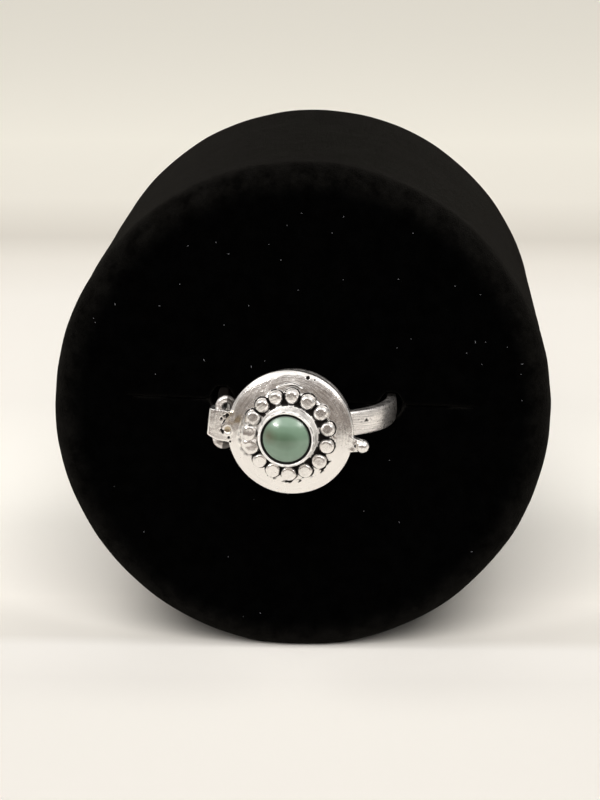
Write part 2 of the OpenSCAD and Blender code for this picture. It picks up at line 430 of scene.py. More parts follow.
def over_dome(r, z):
    """How far outside the dome's sphere a point lies."""
    return np.sqrt(r**2 + (z - DOME_CENTRE_Z) ** 2) - DOME_R


def dome_field(r, z):
    """The domed lid with its upright edge, its bevel and the hollow underneath."""
    surface = over_dome(r, z)
    bevel = ((r - LID_R) + (z - LID_EDGE_Z + LID_BEVEL)) / math.sqrt(2)
    worn = WEAR_RATE * np.maximum(r - WEAR_START_R, 0) ** 2
    body = keep(surface + worn, r - LID_R, DOME_EDGE_SOFT)
    body = keep(body, bevel, BEVEL_SOFT)
    body = keep(body, LID_Z - z, LID_FOOT_SOFT)
    hollow = np.maximum(surface + DOME_T, r - HOLLOW_R)
    return cut(body, hollow, HOLLOW_SOFT)


def bezel_field(r, z):
    """Slanted lip round the stone, with a thin wire round its foot."""
    foot_r = BEZEL_FOOT_R - BEZEL_FOOT_INSET
    foot_z = dome_z(BEZEL_FOOT_R) - BEZEL_FOOT_SINK
    lip_r = (BEZEL_IN_R + BEZEL_LIP_R) / 2
    lip_z = BEZEL_LIP_Z - BEZEL_LIP_T / 2
    t = np.clip((z - foot_z) / (lip_z - foot_z), 0, 1)
    mid = foot_r + (lip_r - foot_r) * t
    half = BEZEL_FOOT_HALF_T + (BEZEL_LIP_T / 2 - BEZEL_FOOT_HALF_T) * t
    wall = np.sqrt((r - mid) ** 2 + (z - np.clip(z, foot_z, lip_z)) ** 2) - half
    wire_z = dome_z(FOOT_WIRE_R) + FOOT_WIRE_LIFT
    wire = np.hypot(r - FOOT_WIRE_R, z - wire_z) - FOOT_WIRE_HALF_T
    return join(wall, wire, 0.04)


def granule_turns():
    """How far round each granule sits: its even share of the turn and its true angle."""
    for i in range(GRANULE_COUNT):
        even = math.tau * i / GRANULE_COUNT
        ahead = math.radians(GRANULE_BUNCH) * (1 - math.cos(even))
        yield even, math.radians(90 - GRANULE_START) - even - ahead


def granules_field(x, y, z):
    """Beads in a ring, each a little out of round and worn flat, the lower ones most."""
    rng = np.random.default_rng(4)
    total = np.full(np.shape(x), FAR_AWAY)
    for even, turn in granule_turns():
        far = GRANULE_RING_R + rng.uniform(*GRANULE_PLACES)
        size = GRANULE_R * rng.uniform(*GRANULE_SIZES)
        outward = (x * math.cos(turn) + y * math.sin(turn) - far) / rng.uniform(*GRANULE_DEPTHS)
        along = (y * math.cos(turn) - x * math.sin(turn)) / rng.uniform(*GRANULE_WIDTHS)
        up = z - dome_z(far) - GRANULE_LIFT
        bead = np.sqrt(outward**2 + along**2 + up**2) - size
        lower = GRANULE_LOW_WEAR * (1 - math.cos(even))
        wear = GRANULE_WEAR * (1.0 + lower + rng.uniform(0, GRANULE_WEAR_SPREAD))
        top = up - size + wear
        for way in (outward, along):
            top = top + way * rng.uniform(-GRANULE_TOP_TILT, GRANULE_TOP_TILT)
        total = np.minimum(total, keep(bead, top, GRANULE_TOP_SOFT))
    return total


def off_ridge(x, y, r):
    """How far inside or outside the ridge of solder a point lies, and how much ridge is there."""
    line = RIDGE_R + RIDGE_BULGE * bell(x - RIDGE_MIDDLE, RIDGE_BULGE_W)
    reach = rise(x, RIDGE_LEFT, RIDGE_END_W) * fall(x, RIDGE_RIGHT, RIDGE_END_W) * (y > 0)
    return r - line, reach


def bed_field(x, y, z, r):
    """Solder that has run round the bezel, and a thin ridge of it past the upper granules."""
    surface = over_dome(r, z)
    edge = BED_R + 0.22 * ripple(x, y, 0 * z, 0.9, 11)
    thick = BED_T * np.maximum(fall(r, BED_END_R, BED_END_W), BED_LEAST)
    bed = keep(surface - thick, r - edge, 0.08)
    bed = np.maximum(bed, -FOOT_DEPTH - surface)
    off, reach = off_ridge(x, y, r)
    ridge = np.hypot(off - 0.05 * ripple(x, y, 0 * z, 0.6, 20), surface)
    # Where there is no ridge, its field stays clear of the metal
    return np.minimum(bed, ridge - RIDGE_HALF_T * reach + 0.2 * (1 - reach))


def mound_field(x, y, z):
    """Solder that has drowned two granules on the hinge side."""
    wide, long, high = MOUND_HALF
    up = z - dome_z(MOUND_X)
    mound = np.sqrt(((x - MOUND_X) / wide) ** 2 + ((y - MOUND_Y) / long) ** 2 + (up / high) ** 2)
    return (mound - 1) * MOUND_SLOPE + 0.05 * ripple(x, y * 2, z, 0.5, 2)


def tab_field(x, y, z):
    """The strip from the lid, folded down round the link's outer leg."""
    low_y, high_y = HINGE_SHIFT - TAB_W / 2, HINGE_SHIFT + TAB_W / 2
    outer = PIN_X - KNUCKLE_R
    inner = outer + 2 * KNUCKLE_R
    top = LID_Z + TAB_FLAT_T
    flat = block(x, y, z, (outer, low_y, LID_Z), (TAB_REACH - LID_R, high_y, top), TAB_EDGE_R)
    # The fold over the wire is rounded at the outside
    past, over = outer + TAB_BEND_R - x, z - top + TAB_BEND_R
    fold = np.sqrt(np.maximum(past, 0) ** 2 + np.maximum(over, 0) ** 2)
    flat = np.maximum(flat, fold - TAB_BEND_R)
    drop = block(x, y, z, (outer, low_y, LINK_Z), (inner, high_y, top - 0.1), 0.1)
    drop = np.maximum(drop, fold - TAB_BEND_R)
    from_pin = np.sqrt((x - PIN_X) ** 2 + (z - LINK_Z) ** 2)
    knuckle = keep(from_pin - KNUCKLE_R, np.abs(y - HINGE_SHIFT) - TAB_W / 2, TAB_EDGE_R)
    strip = join(join(flat, drop, 0.1), knuckle, 0.1)
    clip = -(x - outer) * CLIP_WAY[0] - (y - low_y - CLIP_IN) * CLIP_WAY[1]
    strip = keep(strip, clip, CLIP_SOFT)
    return cut(strip, from_pin - WIRE_R - PIN_GAP, 0.04)


def crack_gap(x, y):
    """Distance in the strip's plane from the ragged line of the crack."""
    wander = x - CRACK_X + 0.14 * ripple(x * 0, y, y * 0, 0.7, 12)
    return np.maximum(np.abs(wander), np.abs(y - CRACK_Y) - CRACK_HALF)


def from_hollow(x, y):
    """Distance from the middle of the brown hollow, as a share of its radius."""
    return np.hypot(x - HOLLOW_X, y - HOLLOW_Y) / BROWN_HOLLOW_R


def thumb_field(x, y, z):
    """The thumb ball on its tapering neck."""
    ball_there = ball(x, y, z, (BALL_X, BALL_Y, BALL_Z), BALL_R)
    taper = NECK_FOOT_W + (NECK_TIP_W - NECK_FOOT_W) * (x - LID_R) / (BALL_X - LID_R)
    sides = np.abs(y - BALL_Y) - taper / 2
    ends = np.abs(x - NECK_MIDDLE_X) - NECK_HALF_LEN
    neck = np.maximum(np.abs(z - NECK_Z - NECK_T / 2) - NECK_T / 2, np.maximum(sides, ends))
    neck = neck + 0.04 * ripple(x, y, z, 0.5, 13)
    return join(ball_there, neck, 0.3)


def lid_field(x, y, z):
    """The lid with all that is soldered to it."""
    r = np.sqrt(x**2 + y**2)
    body = dome_field(r, z)
    body = body + 0.012 * ripple(x, y, z, 2.2, 1) * (z > LID_Z + 0.05)
    body = join(body, bed_field(x, y, z, r), 0.1)
    body = join(body, bezel_field(r, z), 0.14)
    below = -over_dome(r, z) - FOOT_DEPTH
    body = join(body, np.maximum(granules_field(x, y, z), below), 0.16)
    body = join(body, np.maximum(mound_field(x, y, z), below + 0.2), MOUND_SOFT)
    tab = tab_field(x, y, z) + 0.015 * ripple(x, y, z, 1.4, 3)
    body = join(body, tab, 0.3)
    for pit in PITS:
        body = cut(body, ball(x, y, z, pit[:3], pit[3]), 0.05)
    # The brown hollow has a low rim round it
    off = from_hollow(x, y)
    dip = BROWN_HOLLOW_DEPTH * np.exp(-(off**4))
    body = body + (dip - BROWN_RIM_H * bell(off - 1.3, 0.3)) * (z > LID_EDGE_Z - 0.3)
    # Crack where the strip of the tab meets the edge of the lid
    crack = crack_gap(x, y) - 0.03 - 0.06 * ripple(x, y, 0 * z, 0.35, 18)
    body = cut(body, np.maximum(crack, LID_EDGE_Z - 0.12 - z), 0.05)
    return join(body, thumb_field(x, y, z), 0.25)


def off_link(x, y):
    """Distance from the line that the link's oval runs along."""
    past = np.maximum(np.abs(y - HINGE_SHIFT) - LEG_LEN / 2, 0)
    return np.sqrt((x - PIN_X - LEG_GAP / 2) ** 2 + past**2) - LEG_GAP / 2


def band_field(x, y, z):
    """The domed band, turned back from the head's frame to its own."""
    twist = math.radians(HEAD_TWIST)
    along = x * math.cos(twist) + y * math.sin(twist)
    across = -x * math.sin(twist) + y * math.cos(twist)
    rho = np.sqrt(along**2 + z**2)
    mid = (FINGER_R + BAND_OUT_R) / 2
    du = np.abs(rho - mid) - BAND_T / 2 + BAND_EDGE_R
    dv = np.abs(across) - BAND_W / 2 + BAND_EDGE_R
    strip = np.sqrt(np.maximum(du, 0) ** 2 + np.maximum(dv, 0) ** 2)
    strip = strip + np.minimum(np.maximum(du, dv), 0) - BAND_EDGE_R
    dome = np.sqrt((rho - BAND_OUT_R + BAND_DOME_R) ** 2 + across**2) - BAND_DOME_R
    return keep(strip, dome, 0.25) + 0.012 * ripple(x, y, z, 3.0, 5)


def box_field(x, y, z):
    """The round box on its base, open to the front."""
    r = np.sqrt(x**2 + y**2)
    tin = keep(keep(r - BOX_R, z - BOX_RIM_Z, 0.1), BOX_Z - z, 0.15)
    room = np.maximum(r - BOX_R + BOX_WALL, BOX_Z + BOX_FLOOR - z)
    base = keep(r - BOX_R - BASE_REACH, np.abs(z - BOX_Z - BASE_T / 2) - BASE_T / 2, 0.15)
    return cut(join(tin, base, 0.15), room, 0.08) + 0.01 * ripple(x, y, z, 1.8, 6)


def ring_field(x, y, z):
    """The band, the box and the link with its seam of solder, in the head's frame."""
    body = join(band_field(x, y, z), box_field(x, y, z), 0.5)
    link = np.sqrt(off_link(x, y) ** 2 + (z - LINK_Z) ** 2) - WIRE_R
    low = (INNER_LEG_X, HINGE_SHIFT - SEAM_HALF_LEN, LINK_Z - SEAM_HALF_H)
    high = (-BOX_R + BOX_WALL / 2, HINGE_SHIFT + SEAM_HALF_LEN, LINK_Z + SEAM_HALF_H)
    seam = block(x, y, z, low, high, SEAM_EDGE_R) + 0.05 * ripple(x, y, z, 0.6, 7)
    return join(body, join(link, seam, 0.2), 0.3)


# Surface net


def skin(field, xs, ys, zs):
    """Points and four-sided faces of the surface where field is 0, on a grid of planes."""
    values = field(*np.meshgrid(xs, ys, zs, indexing="ij")).astype(np.float32)
    shape = np.array(values.shape)
    inside = values < 0
    axes = (xs, ys, zs)
    cells, places, turned = [], [], []
    for axis in range(3):
        first = [slice(None)] * 3
        second = [slice(None)] * 3
        first[axis], second[axis] = slice(None, -1), slice(1, None)
        a, b = values[tuple(first)], values[tuple(second)]
        at = np.argwhere(inside[tuple(first)] != inside[tuple(second)])
        others = [k for k in range(3) if k != axis]
        inner = np.all([(at[:, k] > 0) & (at[:, k] < shape[k] - 1) for k in others], 0)
        at = at[inner]
        va, vb = a[tuple(at.T)], b[tuple(at.T)]
        share = va / (va - vb)
        place = np.stack([axes[k][at[:, k]] for k in range(3)], 1).astype(float)
        line = axes[axis]
        place[:, axis] += share * (line[at[:, axis] + 1] - line[at[:, axis]])
        u, v = (axis + 1) % 3, (axis + 2) % 3
        for du, dv in ((1, 1), (0, 1), (0, 0), (1, 0)):
            cell = at.copy()
            cell[:, u] -= du
            cell[:, v] -= dv
            cells.append(np.ravel_multi_index(tuple(cell.T), tuple(shape)))
            places.append(place)
        turned.append(va > vb)
    _, inverse = np.unique(np.concatenate(cells), return_inverse=True)
    places = np.concatenate(places)
    count = np.bincount(inverse)
    points = np.stack([np.bincount(inverse, places[:, k]) / count for k in range(3)], 1)
    faces, start = [], 0
    for way in turned:
        n = len(way)
        quads = inverse[start:start + 4 * n].reshape(4, n).T
        quads[way] = quads[way][:, ::-1]
        faces.append(quads)
        start += 4 * n
    return points, np.concatenate(faces)


def slope(field, points, reach):
    """Outward direction of the field at each point."""
    x, y, z = points.T
    grown = [
        field(x + reach, y, z) - field(x - reach, y, z),
        field(x, y + reach, z) - field(x, y - reach, z),
        field(x, y, z + reach) - field(x, y, z - reach),
    ]
    return np.stack(grown, 1) / (2 * reach)


def settle(field, points, step):
    """Moves the points onto the surface, a bounded way."""
    least_slope, most_move = 0.2, step * 0.6
    for _ in range(2):
        grad = slope(field, points, step / 4)
        size = np.maximum((grad**2).sum(1), least_slope)
        move = grad * (field(*points.T) / size)[:, None]
        far = np.maximum(np.linalg.norm(move, axis=1) / most_move, 1)
        points = points - move / far[:, None]
    return points


def crevice_dirt_and_shade(field, points):
    """How deep in a crevice each point lies, from 0 in the open to 1: it darkens the silver as patina
    and as painted shade.
    """
    out = slope(field, points, 0.03)
    out /= np.linalg.norm(out, axis=1)[:, None]
    dirt_and_shade = np.zeros(len(points))
    for reach, share in DIRT_AND_SHADE_REACHES:
        room = field(*(points + out * reach).T) / reach
        dirt_and_shade += share * np.clip(1 - room, 0, 1)
    return dirt_and_shade


def mesh_of(name, points, faces):
    """A smooth mesh in the scene, from lists of points and faces."""
    mesh = bpy.data.meshes.new(name)
    mesh.from_pydata(points, [], faces)
    mesh.polygons.foreach_set("use_smooth", [True] * len(mesh.polygons))
    obj = bpy.data.objects.new(name, mesh)
    bpy.context.scene.collection.objects.link(obj)
    return obj


def mark(obj, name, values):
    """Stores one number a point, for the material to read."""
    store = obj.data.attributes.new(name, "FLOAT", "POINT")
    store.data.foreach_set("value", np.asarray(values, np.float32))


def metal_piece(name, field, low, high, step):
    """Skins a field of the head's frame, and gives the object and its points in that frame."""
    grid = [np.arange(a, b + step, step) for a, b in zip(low, high)]
    points, faces = skin(field, *grid)
    points = settle(field, points, step)
    placed = (points @ head_turn.T + head_origin) * MM
    return mesh_of(name, placed.tolist(), faces.tolist()), points


def stone_field(x, y, z):
    """The stone as a plain drum, for the patina and the painted shade beside it."""
    r = np.sqrt(x**2 + y**2)
    return np.maximum(np.maximum(r - STONE_R, z - STONE_Z - STONE_GIRDLE_H - 0.25), STONE_Z - z)


def near_granules(x, y, r):
    """How far round from the nearest granule's middle a point lies, and how far off its outline."""
    beside = np.full(len(x), FAR_AWAY)
    outline = np.full(len(x), FAR_AWAY)
    for _, at in granule_turns():
        beside = np.minimum(beside, np.hypot(x - r * math.cos(at), y - r * math.sin(at)))
        away = np.hypot(x - GRANULE_RING_R * math.cos(at), y - GRANULE_RING_R * math.sin(at))
        outline = np.minimum(outline, np.abs(away - GRANULE_R - 0.03))
    return beside, outline


def gutter_black(turn, r, low_down, beside):
    """The gutter between the granules and the bezel is black, but for where solder has filled it."""
    gutter = fall(r, GRANULE_RING_R - 0.1, 0.15) * rise(r, BEZEL_FOOT_R - 0.12, 0.1)
    gutter = gutter * rise(low_down, 0, 0.1) * rise(beside, 0.3, 0.15)
    filled = rise(turn, FILLED_START, 8) * fall(turn, FILLED_END, 8)
    return gutter * (1 - 0.9 * filled)


def stain_and_shade(points):
    """Black oxide outside the granules, black in the gutter and round each granule, in the pits and in
    the crack; painted shade as a dark line along the bezel's lip and a shadow ring inside the bezel
    round the stone.
    """
    x, y, z = points.T
    r = np.hypot(x, y)
    turn = np.degrees(np.arctan2(x, y)) % 360
    patchy = 0.7 * ripple(x, y, z, 0.5, 14) + 0.35 * ripple(x, y, z, 0.17, 19)
    side = rise(turn, OXIDE_START, 25) * fall(turn, OXIDE_END, 40)
    black = 1.1 * bell(r - OXIDE_R, 0.3) * side * np.clip(0.3 + patchy, 0, 0.8)
    low_down = DOME_CENTRE_Z + np.sqrt(DOME_R**2 - r**2) + 0.3 - z
    beside, outline = near_granules(x, y, r)
    black = np.maximum(black, gutter_black(turn, r, low_down, beside))
    crease = bell(outline, 0.09) * np.clip(0.72 + 0.5 * patchy, 0.3, 0.95)
    black = np.maximum(black, crease * rise(low_down, 0, 0.2))
    grime = bell(r - GRIME_R, 0.8) * np.clip(0.3 * ripple(x, y, z, 0.35, 17), 0, 1)
    black = black + 0.5 * grime
    off, reach = off_ridge(x, y, r)
    black = np.maximum(black, 0.8 * reach * bell(off - 0.14, 0.07))
    # Painted shade of a thin groove along the outside of the bezel's lip, darkest at the top right; the
    # metal has no groove there
    groove_shade = bell(r - BEZEL_LIP_R + 0.1, 0.07) * (z > BEZEL_LIP_Z - 0.4)
    black = np.maximum(black, groove_shade * np.clip(0.45 + 0.06 * (x + y) + 0.5 * patchy, 0, 0.8))
    # The lid's underside has none of it
    outside = low_down < 0.65
    black = black * outside
    for pit in PITS:
        gap = np.linalg.norm(points - np.array(pit[:3]), axis=1) / pit[3]
        on_tab = pit[0] < -6
        black = np.maximum(black, np.clip(2.6 - 1.8 * gap, 0, 0.82 if on_tab else 1))
    crack = crack_gap(x, y) + 0.11 * ripple(x, y, z, 0.35, 16)
    black = np.maximum(black, np.clip(1.3 - crack / 0.08, 0, 1) * (z > LID_EDGE_Z - 0.3))
    # Painted shadow: a dark ring on the bezel's inner lip, round the stone
    return np.maximum(black, outside * fall(r, BEZEL_IN_R + 0.12, 0.05))


def tarnish(points):
    """Yellow bloom beside the hinge, and the brown hollow."""
    x, y, z = points.T
    bloom = bell(x - BLOOM_X, 1.0) * bell(y - BLOOM_Y, 0.9)
    bloom = bloom * np.clip(0.75 + 0.5 * ripple(x, y, z, 0.6, 15), 0, 1)
    brown = 1.2 * np.exp(-((from_hollow(x, y) / 0.9) ** 4)) * (z > LID_EDGE_Z - 0.3)
    return np.maximum(bloom, brown)


def lid_piece():
    low = (PIN_X - KNUCKLE_R - LID_ROOM, -LID_R - LID_ROOM, LINK_Z - KNUCKLE_R - LID_ROOM)
    high = (BALL_X + BALL_R + LID_ROOM, LID_R + LID_ROOM, BEZEL_LIP_Z + LID_ROOM)
    obj, points = metal_piece("lid_metal", lid_field, low, high, LID_STEP)
    # The stone counts here, so the crevice darkness paints a shadow round it on the bezel
    crevice = crevice_dirt_and_shade(lambda x, y, z: np.minimum(lid_field(x, y, z), stone_field(x, y, z)), points)
    mark(obj, "dirt_and_shade", crevice + stain_and_shade(points))
    mark(obj, "bloom", tarnish(points))
    x, y, z = points.T
    r = np.hypot(x, y)
    # The brush marks run round the middle of the lid
    mark(obj, "across", r)
    mark(obj, "along", np.arctan2(x, -np.abs(y)) * 6)
    # The bezel has a frosted skin, which is dull beside the plain dome
    raised = z - DOME_CENTRE_Z - np.sqrt(DOME_R**2 - np.minimum(r, LID_R) ** 2)
    frosted = rise(raised, 0.1, 0.1) * fall(r, BEZEL_FOOT_R + 0.1, 0.05)
    mark(obj, "bare", 1 - frosted)
    mark(obj, "shade", 0 * r)
    # The lower half of the dome is kept clean of the duller streaks, and so is lighter
    mark(obj, "streak_free", 0.85 * fall(y, 0.8, 2) * rise(r, 3.6, 0.2))
    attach(obj, LID_BODY)
    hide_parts("lid")
    return obj


def stone_piece():
    """The cabochon: an upright side, a tight shoulder and a round cap that meet without a kink."""
    girdle = STONE_Z + STONE_GIRDLE_H
    cap_z = girdle + STONE_DOME_H - STONE_CAP_R
    meet = math.atan2(STONE_CORE_R, girdle - cap_z)
    side = [(STONE_R * f, STONE_Z) for f in (0.0, 0.5, 0.97)]
    side += [(STONE_R, STONE_Z + 0.08), (STONE_R, girdle)]
    shoulder = [
        (STONE_CORE_R + STONE_SHOULDER_R * math.sin(a), girdle + STONE_SHOULDER_R * math.cos(a))
        for a in np.linspace(math.pi / 2, meet, 12)[1:]
    ]
    cap = [
        (STONE_CAP_R * math.sin(a), cap_z + STONE_CAP_R * math.cos(a))
        for a in np.linspace(meet, 0, 30)[1:]
    ]
    profile = np.array(side + shoulder + cap)
    turns = np.arange(STONE_SIDES) * math.tau / STONE_SIDES
    rings = profile[1:-1]
    points = [(0, 0, profile[0][1])]
    points += [(r * math.cos(t), r * math.sin(t), z) for r, z in rings for t in turns]
    points.append((0, 0, profile[-1][1]))
    around = [(j, (j + 1) % STONE_SIDES) for j in range(STONE_SIDES)]
    rows = [1 + i * STONE_SIDES for i in range(len(rings))]
    faces = [(0, rows[0] + b, rows[0] + a) for a, b in around]
    faces += [(p + a, p + b, q + b, q + a) for p, q in zip(rows, rows[1:]) for a, b in around]
    faces += [(rows[-1] + a, rows[-1] + b, len(points) - 1) for a, b in around]
    obj = mesh_of("cabochon", [to_row(p) for p in points], faces)
    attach(obj, LID_BODY)
    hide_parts("stone")
    return obj


def ring_piece():
    low = (-BAND_OUT_R - RING_ROOM, -BOX_R - RING_ROOM, -BAND_OUT_R - RING_ROOM)
    high = (BAND_OUT_R + RING_ROOM, BOX_R + RING_ROOM, BOX_RIM_Z + RING_ROOM)
    obj, points = metal_piece("ring_metal", ring_field, low, high, RING_STEP)
    x, y, z = points.T
    # Painted shade: the leg on the hinge side is blackened where it runs into the velvet
    painted_leg_shade = fall(x, -8.3, 0.6) * fall(z, BOX_Z - 1.2, 0.6)
    worn = bell(y - SCUFF_Y, 0.35) * bell(x - SCUFF_X, 1.3)
    worn = worn * np.clip(0.55 + 0.6 * ripple(x, y, z, 0.2, 21), 0, 0.8) * (z > 0)
    # Darkness here: crevice patina with painted shade, the leg's painted shade and the scuff
    mark(obj, "dirt_and_shade", crevice_dirt_and_shade(ring_field, points) + painted_leg_shade + worn)
    mark(obj, "bloom", 0 * x)
    mark(obj, "across", y)
    mark(obj, "along", np.arctan2(x, z) * BAND_OUT_R)
    # The side faces of the band are polished and its outside is dulled by wear
    twist = math.radians(HEAD_TWIST)
    sideways = np.abs(y * math.cos(twist) - x * math.sin(twist))
    bare = rise(sideways, BAND_W / 2 - 0.1, 0.05)
    bare = np.maximum(bare, fall(np.hypot(x, z), BAND_OUT_R - 0.5, 0.12))
    r = np.hypot(x, y)
    on_box = (z > BOX_Z - 0.05) & (r > BOX_R - 1) & (r < BOX_R + 0.15)
    mark(obj, "bare", np.maximum(bare, on_box))
    # Painted shade darkens the silver: the box wall, the far end of the band and the link on the lid's
    # side
    beside_lid = (x > -BOX_R - 1.2) & (x < -BOX_R + 0.2) & (np.abs(z - LINK_Z) < 0.7)
    off_tab = rise(np.abs(y - HINGE_SHIFT), TAB_W / 2 - 0.2, 0.2)
    inner_leg = beside_lid * off_tab * rise(x, PIN_X + LEG_GAP / 2 - 0.3, 0.3)
    far_end = 0.75 * rise(x, 9.6, 1.1)
    far_end = np.maximum(far_end, 0.97 * np.clip(0.5 - z, 0, 1) * (x > 0))
    mark(obj, "shade", np.maximum(np.maximum(0.9 * inner_leg, far_end), 0.5 * on_box))
    mark(obj, "streak_free", 0 * x)
    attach(obj, RING_BODY)
    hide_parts("ring_body")
    return obj


# Velvet roll


def spread(stops):
    """Grid lines through stretches, each (start, end, step)."""
    lines = [np.arange(a, b, step) for a, b, step in stops]
    return np.concatenate(lines + [[stops[-1][1]]])


def roll_field(x, y, z):
    """The velvet roll, in the row frame, with soft lips along its slit."""
    across = np.sqrt(x**2 + (z - ROLL_Z) ** 2)
    half = (roll_back - roll_face) / 2
    mid = (roll_back + roll_face) / 2
    du = across - ROLL_R + ROLL_EDGE_R
    dv = np.abs(y - mid) - half + ROLL_EDGE_R
    body = np.sqrt(np.maximum(du, 0) ** 2 + np.maximum(dv, 0) ** 2)
    body = body + np.minimum(np.maximum(du, dv), 0) - ROLL_EDGE_R
    body = body + 0.04 * ripple(x, y, z, 6, 8) + 0.02 * ripple(x, y, z, 2.5, 9)
    body = keep(body, -z, 0.4)
    # The slit stays shut but for the legs of the band, which it grips
    off = z - SLIT_Z + math.tan(math.radians(RING_ROLL)) * (x - RING_RIGHT)
    gape = SHUT_GAPE + sum(
        LEG_GAPE * np.exp(-(((x - RING_RIGHT - side * LEG_X) / LEG_GAPE_W) ** 4)) for side in (-1, 1)
    )
    room = INNER_GAPE * (np.abs(x - RING_RIGHT) < BAND_OUT_R + 0.7)
    gape = np.where(y > roll_face + LIP_DEPTH, np.maximum(gape, room), gape)
    deep = np.maximum(np.abs(off) - gape, y - roll_face - SLIT_DEPTH)
    deep = np.maximum(deep, np.abs(x) - SLIT_W / 2)
    return cut(body, deep, LIP_SOFT)


def roll_piece():
    # The net is finest round the slit and on the face
    side, fine = ROLL_R + 1, 16
    xs = spread([(-side, -fine, 0.9), (-fine, fine, 0.3), (fine, side, 0.9)])
    front, back = (roll_face - 4, roll_face + 6, 0.3), (roll_back - 4, roll_back + 1, 0.5)
    ys = spread([front, (front[1], back[0], 1.2), back])
    low, high = SLIT_Z - 7, SLIT_Z + 7
    zs = spread([(-0.6, low, 0.7), (low, high, 0.25), (high, 60.4, 0.7)])
    points, faces = skin(roll_field, xs, ys, zs)
    points = settle(roll_field, points, ROLL_STEP)
    points[:, 2] = np.maximum(points[:, 2], 0)
    obj = mesh_of("velvet_roll", (points * MM).tolist(), faces.tolist())
    across = np.hypot(points[:, 0], points[:, 2] - ROLL_Z)
    # Share of the round edge, where the velvet's base colour is lighter as painted sheen
    mark(obj, "edge", rise(across, ROLL_R - ROLL_EDGE_R - 0.6, 2))
    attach(obj, RING_BODY)
    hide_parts("display_roll")
    return obj


def lint_piece():
    """Specks of dust on the face, most of them above the slit."""
    rng = np.random.default_rng(21)
    points, faces = [], []
    for _ in range(LINT_COUNT):
        far = LINT_REACH * math.sqrt(rng.uniform())
        turn = rng.uniform(0, math.tau)
        x, z = far * math.cos(turn), ROLL_Z + far * math.sin(turn)
        if z < SLIT_Z + 3 and rng.uniform() < 0.7:
            continue
        long = rng.choice([0.07, 0.1, 0.18], p=[0.5, 0.35, 0.15])
        wide = rng.uniform(0.03, 0.06)
        tilt = rng.uniform(0, math.pi)
        way = np.array([math.cos(tilt), rng.uniform(-0.3, 0.3), math.sin(tilt)])
        side = np.array([-math.sin(tilt), 0, math.cos(tilt)])
        middle = np.array([x, roll_face - LINT_AHEAD, z])
        first = len(points)
        points += [middle - way * long, middle - side * wide, middle + way * long, middle + side * wide]
        faces.append((first, first + 1, first + 2, first + 3))
    obj = mesh_of("lint", [point * MM for point in points], faces)
    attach(obj, RING_BODY)
    return obj


# Materials


class Looks:
    """A node material that is built up one node at a time."""

    def __init__(self, name):
        self.material = bpy.data.materials.new(name)
        self.material.use_nodes = True
        self.tree = self.material.node_tree
        self.tree.nodes.clear()
        self.shader = self.node("ShaderNodeBsdfPrincipled")
        end = self.node("ShaderNodeOutputMaterial")
        self.link(self.shader.outputs[0], end.inputs[0])
        self.place = self.node("ShaderNodeTexCoord").outputs["Object"]

    def node(self, kind, **values):
        node = self.tree.nodes.new(kind)
        for key, value in values.items():
            setattr(node, key, value)
        return node

    def link(self, a, b):
        self.tree.links.new(a, b)

    def feed(self, name, source):
        self.link(source, self.shader.inputs[name])

    def set(self, **values):
        for key, value in values.items():
            self.shader.inputs[key.replace("_", " ")].default_value = value

    def noise(self, scale, detail=3, rough=0.5, place=None):
        node = self.node("ShaderNodeTexNoise")
        node.inputs["Scale"].default_value = scale
        node.inputs["Detail"].default_value = detail
        node.inputs["Roughness"].default_value = rough
        self.link(place or self.place, node.inputs["Vector"])
        return node.outputs["Fac"]

    def ramp(self, source, *stops):
        """Turns a number into a colour or grey, from stops of (place, colour)."""
        node = self.node("ShaderNodeValToRGB")
        points = node.color_ramp.elements
        while len(points) < len(stops):
            points.new(0.5)
        for point, (at, colour) in zip(points, stops):
            point.position = at
            colour = (colour,) * 3 if isinstance(colour, (int, float)) else colour
            point.color = (*colour, 1)
        self.link(source, node.inputs[0])
        return node.outputs[0]

    def stored(self, name):
        return self.node("ShaderNodeAttribute", attribute_name=name).outputs["Fac"]

    def mix(self, share, a, b):
        node = self.node("ShaderNodeMix", data_type="RGBA")
        for source, socket in ((share, 0), (a, 6), (b, 7)):
            if isinstance(source, tuple):
                node.inputs[socket].default_value = (*source, 1)
            elif isinstance(source, (int, float)):
                node.inputs[socket].default_value = source
            else:
                self.link(source, node.inputs[socket])
        return node.outputs[2]

    def vector(self, what, source, value):
        """A number worked out from a vector and a constant one."""
        node = self.node("ShaderNodeVectorMath", operation=what)
        self.link(source, node.inputs[0])
        node.inputs[1].default_value = value
        return node.outputs["Value"]

    def math(self, what, a, b):
        node = self.node("ShaderNodeMath", operation=what)
        for source, socket in ((a, 0), (b, 1)):
            if isinstance(source, (int, float)):
                node.inputs[socket].default_value = source
            else:
                self.link(source, node.inputs[socket])
        return node.outputs[0]

    def bump(self, height, depth, strength=1, under=None):
        node = self.node("ShaderNodeBump")
        node.inputs["Strength"].default_value = strength
        node.inputs["Distance"].default_value = depth
        self.link(height, node.inputs["Height"])
        if under:
            self.link(under, node.inputs["Normal"])
        return node.outputs[0]


